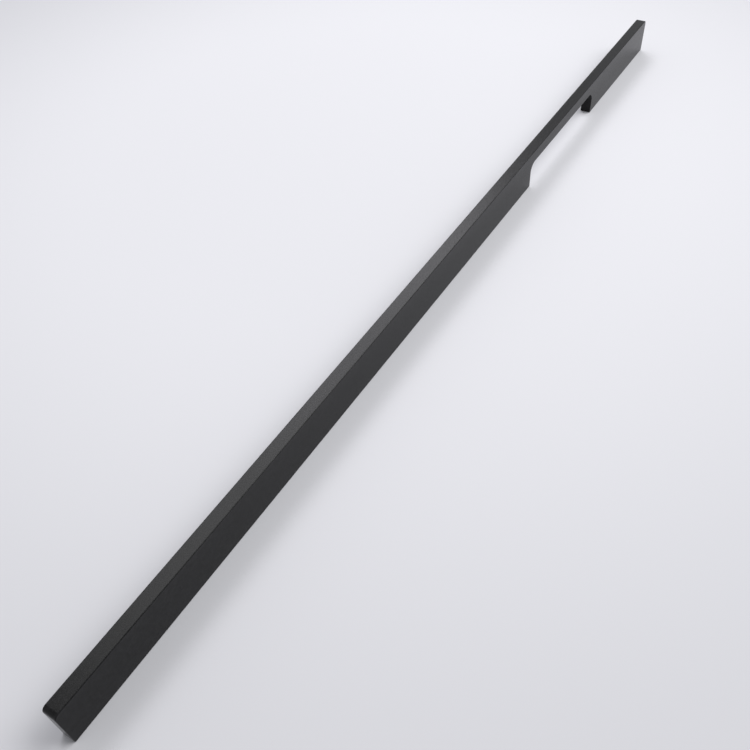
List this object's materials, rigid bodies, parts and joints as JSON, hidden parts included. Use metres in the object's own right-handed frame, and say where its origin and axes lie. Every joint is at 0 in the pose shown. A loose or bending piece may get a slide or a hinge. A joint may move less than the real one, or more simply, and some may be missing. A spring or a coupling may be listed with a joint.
{
  "type": "cabinet bar pull",
  "caption": "Long, slim flat bar pull that stands on its edge on a door, with a finger notch milled in from the door side near one end.",
  "frame": {"origin": "middle of the edge that lies on the door, halfway along the bar and halfway through its thickness", "axes": "+X along the bar, towards the end with the finger notch; +Y through the bar's thickness; +Z away from the door"},
  "size_m": [0.7, 0.008, 0.027],
  "materials": {
    "black_anodised": "satin black anodised"
  },
  "bodies": {
    "root": {"pull_bar": "black_anodised"}
  },
  "joints": []
}
